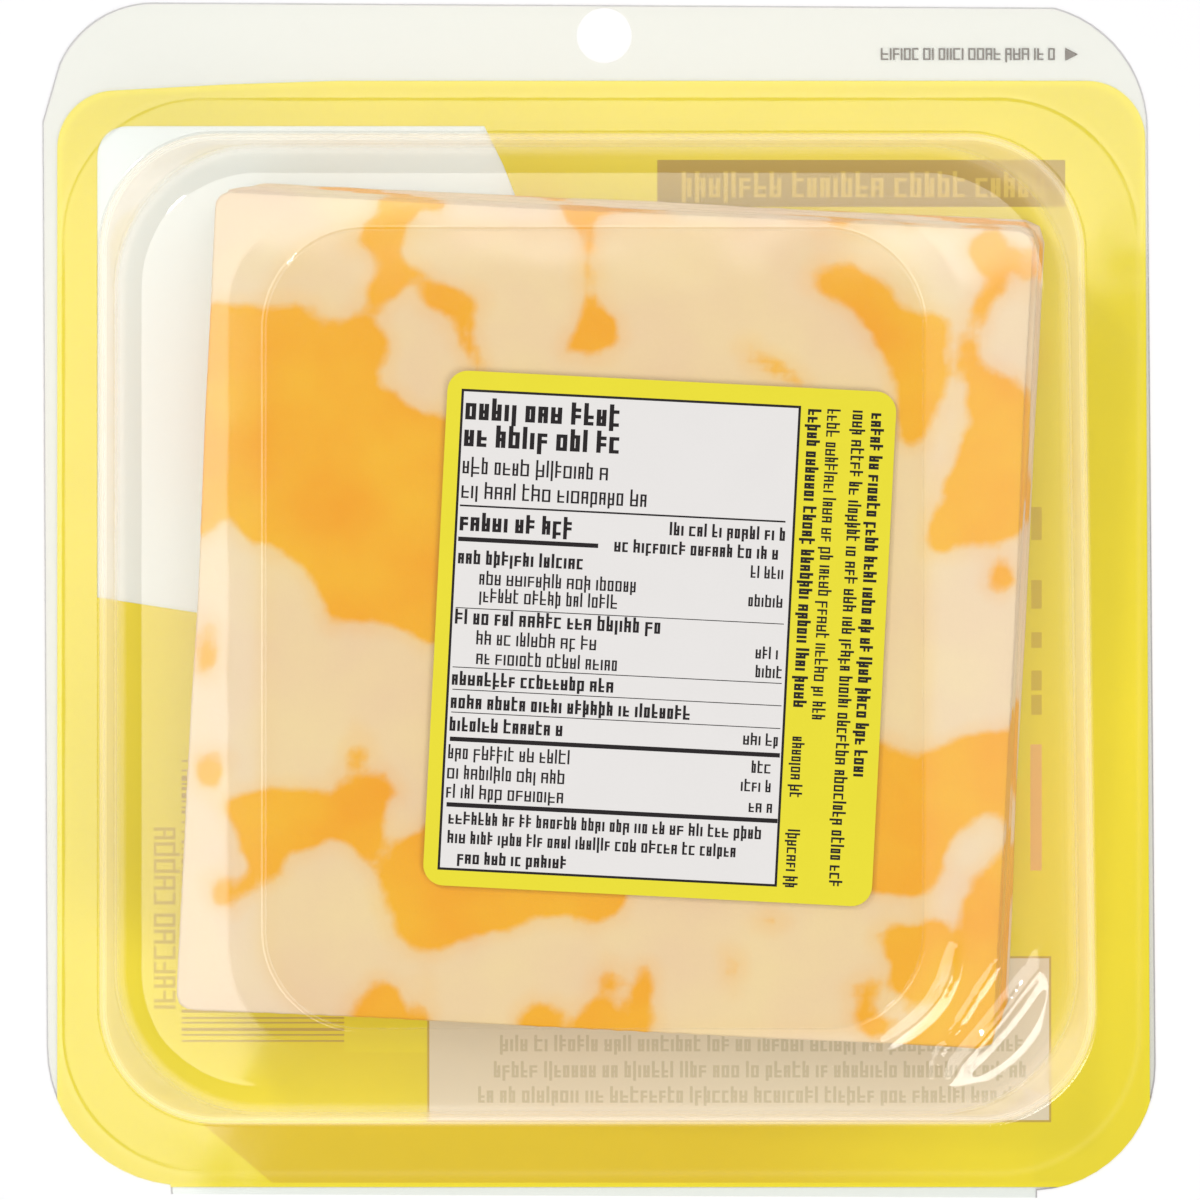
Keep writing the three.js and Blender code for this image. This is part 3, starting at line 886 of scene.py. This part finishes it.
crease_lowest = 20
crease_ends, crease_taper = 0.04, 0.6
break_wave, break_drift, drift_wave = 60, 5, 17


def crease_height(points):
    """How far the creases lift the shoulder at flat points; each line fades out at both ends."""
    height = np.zeros(len(points))
    for line, tall, width, broken in creases:
        nearest = np.full(len(points), np.inf)
        share = np.zeros(len(points))
        for number, (start, end) in enumerate(zip(line, line[1:])):
            start, way = np.array(start), np.array(end) - np.array(start)
            raw = ((points - start) @ way) / (way @ way)
            along = np.clip(raw, 0, 1)
            gap = np.linalg.norm(points - start - along[:, None] * way, axis=1)
            closer = gap < nearest
            nearest = np.where(closer, gap, nearest)
            share = np.where(closer, (number + along) / (len(line) - 1), share)
        ends = np.sin(np.pi * np.clip(share, crease_ends, 1 - crease_ends)) ** crease_taper
        phase = break_wave * share + break_drift * np.sin(drift_wave * share)
        breaks = 1 - broken * (0.5 + 0.5 * np.sin(phase))
        height += tall * ends * breaks * np.exp(-((nearest / width) ** 2))
    return height


flange_reach_x, flange_reach_y, spacing = 62, 66, 2.4
bead_gap, rim_gap_x, rim_gap_y = 1.4, 1.2, 0.8
across = np.arange(-flange_reach_x, flange_reach_x + 1, spacing)
down = np.arange(-flange_reach_y, flange_reach_y + 1, spacing)
flange_points = np.stack(np.meshgrid(across, down, indexing="ij"), axis=-1).reshape(-1, 2)
rim_ring = rings[-1][:, :2]
bead_offsets = (-0.7, -0.45, -0.25, 0, 0.25, 0.45, 0.7)
clear_of_rings = inside(flange_points, cut_outline) & ~inside(flange_points, hang_hole)
clear_of_rings &= np.abs(box_distance(flange_points, bead_middle, *bead)) > bead_gap
clear_of_rings &= box_distance(flange_points, tray_middle, rim[0] + rim_gap_x, rim[1] + rim_gap_y, rim[2]) > 0
bead_rings = [
    rounded_box(*(np.array(bead) + offset), *ring_steps) + np.array(bead_middle)
    for offset in bead_offsets
]
flat, flange_triangles = triangulate(
    cut_outline,
    [hang_hole, rim_ring.tolist()],
    [ring.tolist() for ring in bead_rings],
    flange_points[clear_of_rings],
)
bead_rise = bead_height * np.exp(-((box_distance(flat, bead_middle, *bead) / bead_width) ** 2))
flange = np.column_stack([flat, flange_z + bead_rise])

ring_size = len(rings[0])
ring_count = len(rings)
here = np.arange(ring_size)
there = np.roll(here, -1)
tray_faces = []
for ring in range(ring_count - 1):
    inner_edge, outer_edge = ring * ring_size, (ring + 1) * ring_size
    quads = np.stack([inner_edge + here, outer_edge + here, outer_edge + there, inner_edge + there], axis=-1)
    tray_faces += quads.tolist()
hub = ring_count * ring_size
tray_faces += np.stack([np.full(ring_size, hub), here, there], axis=-1).tolist()
tray_faces += (flange_triangles + hub + 1).tolist()
tray_vertices = np.vstack([*rings, [(*tray_middle, panel_z)], flange])
on_top = tray_vertices[:, 2] > crease_lowest
tray_vertices[on_top, 2] += crease_height(tray_vertices[on_top, :2])

tray_clear = clear_plastic("tray_clear", (0.992, 0.992, 0.985, 1), 0.04, 0.06, 0.1)
tray = add_mesh("clear_tray", tray_vertices, tray_faces, [tray_clear])
welded = bmesh.new()
welded.from_mesh(tray.data)
closeness = 0.002 * mm
bmesh.ops.remove_doubles(welded, verts=welded.verts, dist=closeness)
for edge in welded.edges:
    edge.smooth = not edge.is_boundary
welded.to_mesh(tray.data)
welded.free()
places = np.array([vertex.co for vertex in tray.data.vertices]) / mm
# Real haze and painted sheen by height, with more painted sheen towards the right of the floor
haze_and_sheen = np.interp(places[:, 2], haze_and_sheen_heights, haze_and_sheen_values)
on_floor = places[:, 2] > sheen_lean_height
haze_and_sheen[on_floor] *= 1 + sheen_lean * places[on_floor, 0] / rim[0]
add_values(tray, "haze_and_sheen", haze_and_sheen)
tray.data.polygons.foreach_set("use_smooth", [True] * len(tray.data.polygons))
thickness = tray.modifiers.new("wall", "SOLIDIFY")
thickness.thickness = wall * mm
thickness.offset = -1
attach(tray, "root")
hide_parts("tray")

# Label. Printed paper, yellow with rounded corners, stuck on the tray's floor a little askew: a bordered
# panel of facts ruled into rows, and four lines that run down beside it. The print is rows of plain black
# strokes.
label_middle, label_turn = (6.8, -4.3), -2.9
label_width, label_length, label_radius = 50.3, 57.7, 2.3
label_bottom, label_top = 26.56, 26.68
facts = (-23.55, -27.1, 14.5, 26.8)
facts_line = 0.28


def on_label(shape):
    """A shape in the label's own millimetres, set down on the pack."""
    turn = math.radians(label_turn)
    along, across = [math.cos(turn), math.sin(turn)], [-math.sin(turn), math.cos(turn)]
    return (np.asarray(shape) @ np.array([along, across]) + np.array(label_middle)).tolist()


label_yellow = printed("label_yellow", colour(228, 216, 46), 0.5, amount=0.05, relief=0.08)
label_white = printed("label_white", colour(226, 223, 221), 0.55, amount=0.03, relief=0.08)
label_black = printed("label_black", colour(24, 18, 20), 0.5, relief=0.08)

label_shape = rounded_box(label_width / 2, label_length / 2, label_radius)
left, bottom, right, top = facts
inner_facts = box_shape(left + facts_line, bottom + facts_line, right - facts_line, top - facts_line)
label_prints = [
    (label_yellow, label_shape),
    (label_black, box_shape(*facts)),
    (label_white, inner_facts),
]
# Rows of the panel: left, right, base line, height of a capital, width of a stroke
rows = [
    (-23.0, -4.6, 23.4, 2.5, 0.5),
    (-23.0, -3.7, 20.4, 2.5, 0.5),
    (-23.0, -5.9, 17.35, 1.9, 0.24),
    (-23.0, -1.7, 14.6, 1.9, 0.24),
    (-23.0, -9.0, 10.95, 2.1, 0.42),
    (0.5, 13.7, 11.6, 1.5, 0.27),
    (-5.6, 13.6, 9.45, 1.5, 0.27),
    (-23.0, -8.4, 7.25, 1.6, 0.3),
    (9.8, 13.9, 7.3, 1.4, 0.22),
    (-20.5, -2.0, 5.0, 1.6, 0.22),
    (-20.4, -4.1, 3.05, 1.6, 0.22),
    (9.7, 13.9, 4.1, 1.4, 0.22),
    (-23.0, 0.3, 0.5, 1.7, 0.3),
    (-20.5, -7.0, -1.7, 1.6, 0.22),
    (10.8, 13.9, -1.7, 1.4, 0.22),
    (-20.4, -4.4, -3.9, 1.6, 0.22),
    (10.9, 13.9, -3.8, 1.4, 0.22),
    (-23.0, -4.1, -6.35, 1.6, 0.3),
    (-23.0, 3.8, -8.95, 1.6, 0.3),
    (-23.0, -9.8, -11.5, 1.6, 0.3),
    (9.9, 13.9, -11.4, 1.4, 0.22),
    (-23.0, -8.6, -14.6, 1.6, 0.22),
    (11.0, 13.9, -14.5, 1.4, 0.22),
    (-23.0, -9.7, -16.85, 1.6, 0.22),
    (9.9, 13.9, -16.6, 1.4, 0.22),
    (-23.0, -9.2, -19.0, 1.6, 0.22),
    (10.9, 13.9, -18.9, 1.4, 0.22),
    (-22.6, 13.3, -21.9, 1.45, 0.25),
    (-22.6, 10.1, -24.05, 1.45, 0.25),
    (-21.4, -8.9, -26.3, 1.45, 0.28),
]
# Ruled lines of the panel: left, right, middle, thickness
rules = [
    (-23.1, 13.4, 13.75, 0.2),
    (-23.1, -7.4, 10.0, 0.5),
    (-23.0, 13.8, 2.3, 0.1),
    (-23.0, 13.9, -4.35, 0.1),
    (-22.9, 14.0, -6.85, 0.1),
    (-22.9, 14.0, -9.4, 0.1),
    (-22.9, 14.1, -12.4, 0.5),
    (-22.9, 14.2, -19.75, 0.5),
]
# Lines that run down the yellow: base line, start, end, height of a capital, width of a stroke
side_lines = [
    (22.4, 26.4, -15.0, 1.5, 0.3),
    (20.3, 26.6, -27.0, 1.5, 0.24),
    (17.45, 26.6, -8.2, 1.5, 0.22),
    (15.3, 26.5, -7.3, 1.5, 0.3),
    (15.4, -10.2, -17.0, 1.4, 0.22),
    (15.4, -20.6, -27.5, 1.4, 0.22),
]
chance = random.Random(11)
for row in rows:
    label_prints += [(label_black, block) for block in mock_type(*row, chance)]
for start, end, middle, thick in rules:
    label_prints.append((label_black, box_shape(start, middle - thick / 2, end, middle + thick / 2)))
for base, start, end, height, stroke in side_lines:
    for block in mock_type(-start, -end, base, height, stroke, chance):
        label_prints.append((label_black, [(y, -x) for x, y in block]))
placed = [(ink, on_label(shape)) for ink, shape in label_prints]
label = printed_sheet("paper_label", on_label(label_shape), [], placed, label_bottom, label_top)
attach(label, "root")
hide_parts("label")

# Studio. A plain pale table, a camera straight above the pack, and soft lights: one to the left, one above
# the top edge, one at the lower right, a small bright one that picks out the creases and one from the
# viewer's side. Places and sizes of the lights are in metres.
table_half, table_corner, table_steps, table_gap = 9000, 3000, 12, 0.05
table_edge = [(x, y, -table_gap) for x, y in rounded_box(table_half, table_half, table_corner, table_steps)]
table_top = printed("table_top", colour(250, 250, 252), 0.7, amount=0.0)
table = add_mesh("table", table_edge, [tuple(range(len(table_edge)))], [table_top])


def soft_light(name, middle, size, radiance, target, mirrored=True):
    """A flat light of a given brightness. The camera doesn't see it; shiny faces do if it's mirrored."""
    lamp = bpy.data.lights.new(name, "AREA")
    lamp.shape = "RECTANGLE"
    lamp.size, lamp.size_y = size
    lamp.energy = radiance * math.pi * size[0] * size[1]
    holder = bpy.data.objects.new(name, lamp)
    holder.location = middle
    holder.rotation_euler = (Vector(target) - Vector(middle)).to_track_quat("-Z", "Y").to_euler()
    holder.visible_camera = False
    holder.visible_glossy = mirrored
    bpy.context.scene.collection.objects.link(holder)


# Middle, size, brightness and target of each light
soft_light("left_light", (-0.3, 0.0, 1.0), (0.42, 0.8), 2.15, (-0.3, 0.0, 0.0))
soft_light("top_light", (0.2, 0.23, 1.0), (0.6, 0.3), 2.15, (0.2, 0.23, 0.0))
soft_light("fill_light", (0.42, -0.45, 1.0), (0.45, 0.45), 5.2, (0.0, 0.0, 0.0))
soft_light("crease_light", (-0.45, 0.45, 0.98), (0.09, 0.09), 62.0, (0.0, 0.0, 0.0))
soft_light("front_light", (0.0, 0.0, 1.5), (0.5, 0.5), 5.8, (0.0, 0.0, 0.0), mirrored=False)

world = bpy.data.worlds.new("studio")
bpy.context.scene.world = world
world.use_nodes = True
backdrop = world.node_tree.nodes["Background"].inputs
backdrop["Color"].default_value = (1.0, 1.0, 1.0, 1.0)
backdrop["Strength"].default_value = 0.28
bpy.context.scene.view_settings.view_transform = "Standard"
bpy.context.scene.cycles.transparent_max_bounces = 24

camera_height = 1.0
picture_pixels, pixel_size = 1200, 0.115 * mm
picture_width = picture_pixels * pixel_size
camera_data = bpy.data.cameras.new("camera")
camera_data.sensor_width = 36
camera_data.lens = camera_data.sensor_width * camera_height / picture_width
camera = bpy.data.objects.new("camera", camera_data)
camera.location = (pixel_size, 0, camera_height)
bpy.context.scene.collection.objects.link(camera)
bpy.context.scene.camera = camera
